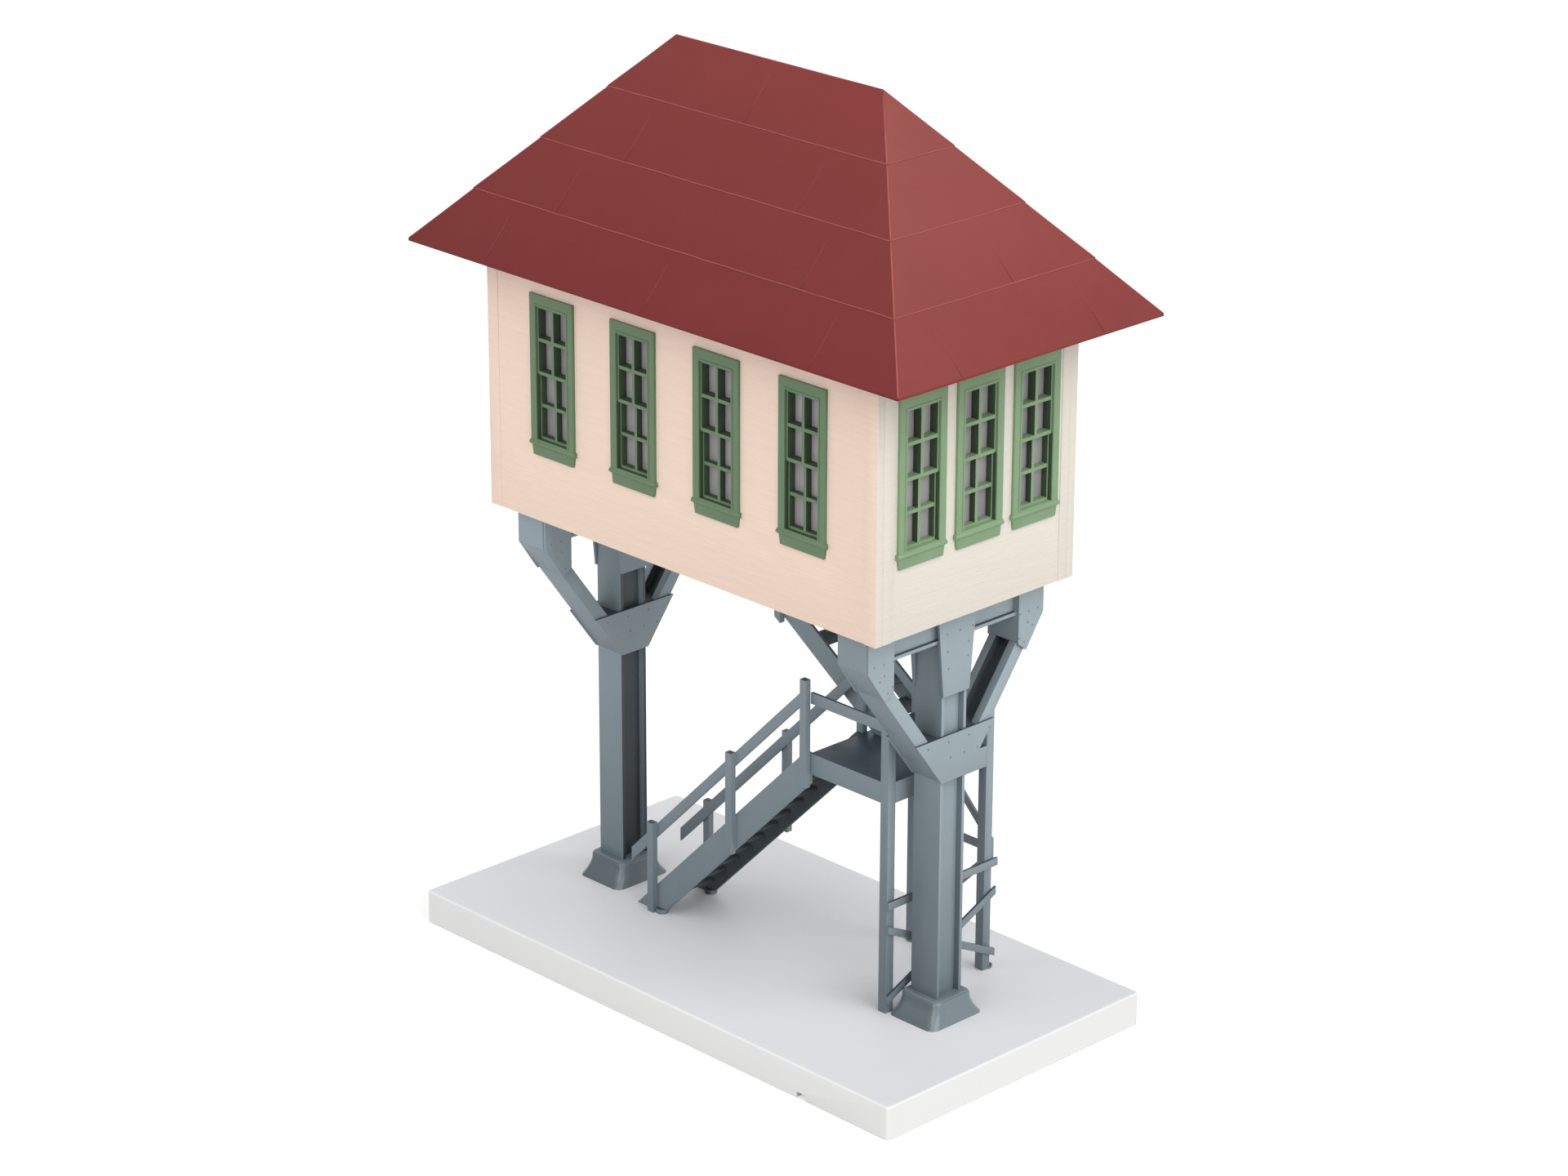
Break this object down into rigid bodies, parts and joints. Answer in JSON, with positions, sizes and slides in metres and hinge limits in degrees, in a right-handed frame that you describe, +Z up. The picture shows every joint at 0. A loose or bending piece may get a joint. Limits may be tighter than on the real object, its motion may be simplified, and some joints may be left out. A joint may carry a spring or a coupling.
{
  "type": "model railway elevated signal tower",
  "caption": "Hip-roofed model signal cabin raised on twin Y-bracket columns above a flat base, with a two-flight open stair and landing; the roof lifts off.",
  "frame": {"origin": "centre of the base's underside, which is the bottom centre of the whole object", "axes": "+X along the base's long side, +Z up; the long wall behind the lower stair flight faces -Y"},
  "size_m": [0.2408, 0.1274, 0.3405],
  "materials": {
    "roof_plastic": "semi-matte maroon moulded plastic",
    "wall_plastic": "satin cream moulded plastic with fine horizontal grain",
    "window_plastic": "satin mid-green moulded plastic",
    "glazing_sheet": "frosted grey-lilac translucent sheet",
    "base_plastic": "semi-matte white moulded plastic",
    "steelwork_plastic": "semi-matte blue-grey moulded plastic",
    "screw_steel": "plain steel",
    "socket_plastic": "black moulded plastic",
    "bulb_glass": "clear glass"
  },
  "bodies": {
    "tower": {"base_cover": "base_plastic", "base_shell": "base_plastic", "brace_end": "steelwork_plastic", "brace_side": "steelwork_plastic", "bracket_arm_far_left": "steelwork_plastic", "bracket_arm_far_right": "steelwork_plastic", "bracket_arm_near_left": "steelwork_plastic", "bracket_arm_near_right": "steelwork_plastic", "cabin_floor": "wall_plastic", "column_left": "steelwork_plastic", "column_right": "steelwork_plastic", "cover_screws": "screw_steel", "crossbeam_left": "steelwork_plastic", "crossbeam_right": "steelwork_plastic", "glazing_back": "glazing_sheet", "glazing_front": "glazing_sheet", "glazing_left": "glazing_sheet", "glazing_right": "glazing_sheet", "gussets_far_left": "steelwork_plastic", "gussets_far_right": "steelwork_plastic", "gussets_hub_left": "steelwork_plastic", "gussets_hub_right": "steelwork_plastic", "gussets_near_left": "steelwork_plastic", "gussets_near_right": "steelwork_plastic", "lamp_bulb": "bulb_glass", "lamp_socket": "socket_plastic", "landing_deck": "steelwork_plastic", "landing_post_far": "steelwork_plastic", "landing_post_near": "steelwork_plastic", "landing_post_rear": "steelwork_plastic", "landing_rails": "steelwork_plastic", "pedestal_left": "steelwork_plastic", "pedestal_right": "steelwork_plastic", "splice_plates_left": "steelwork_plastic", "splice_plates_right": "steelwork_plastic", "stair_lower_far_side": "steelwork_plastic", "stair_lower_near_side": "steelwork_plastic", "stair_lower_treads": "steelwork_plastic", "stair_upper_far_side": "steelwork_plastic", "stair_upper_near_side": "steelwork_plastic", "stair_upper_treads": "steelwork_plastic", "wall_back": "wall_plastic", "wall_front": "wall_plastic", "wall_left": "wall_plastic", "wall_right": "wall_plastic", "window_back_1": "window_plastic", "window_back_2": "window_plastic", "window_back_3": "window_plastic", "window_back_4": "window_plastic", "window_front_1": "window_plastic", "window_front_2": "window_plastic", "window_front_3": "window_plastic", "window_front_4": "window_plastic", "window_left_1": "window_plastic", "window_left_2": "window_plastic", "window_left_3": "window_plastic", "window_right_1": "window_plastic", "window_right_2": "window_plastic", "window_right_3": "window_plastic"},
    "roof": {"roof_shell": "roof_plastic"}
  },
  "joints": [
    {"name": "roof_lift", "type": "slide", "parent": "tower", "child": "roof", "axis": [0, 0, 1], "range_m": [0, 0.1]}
  ]
}
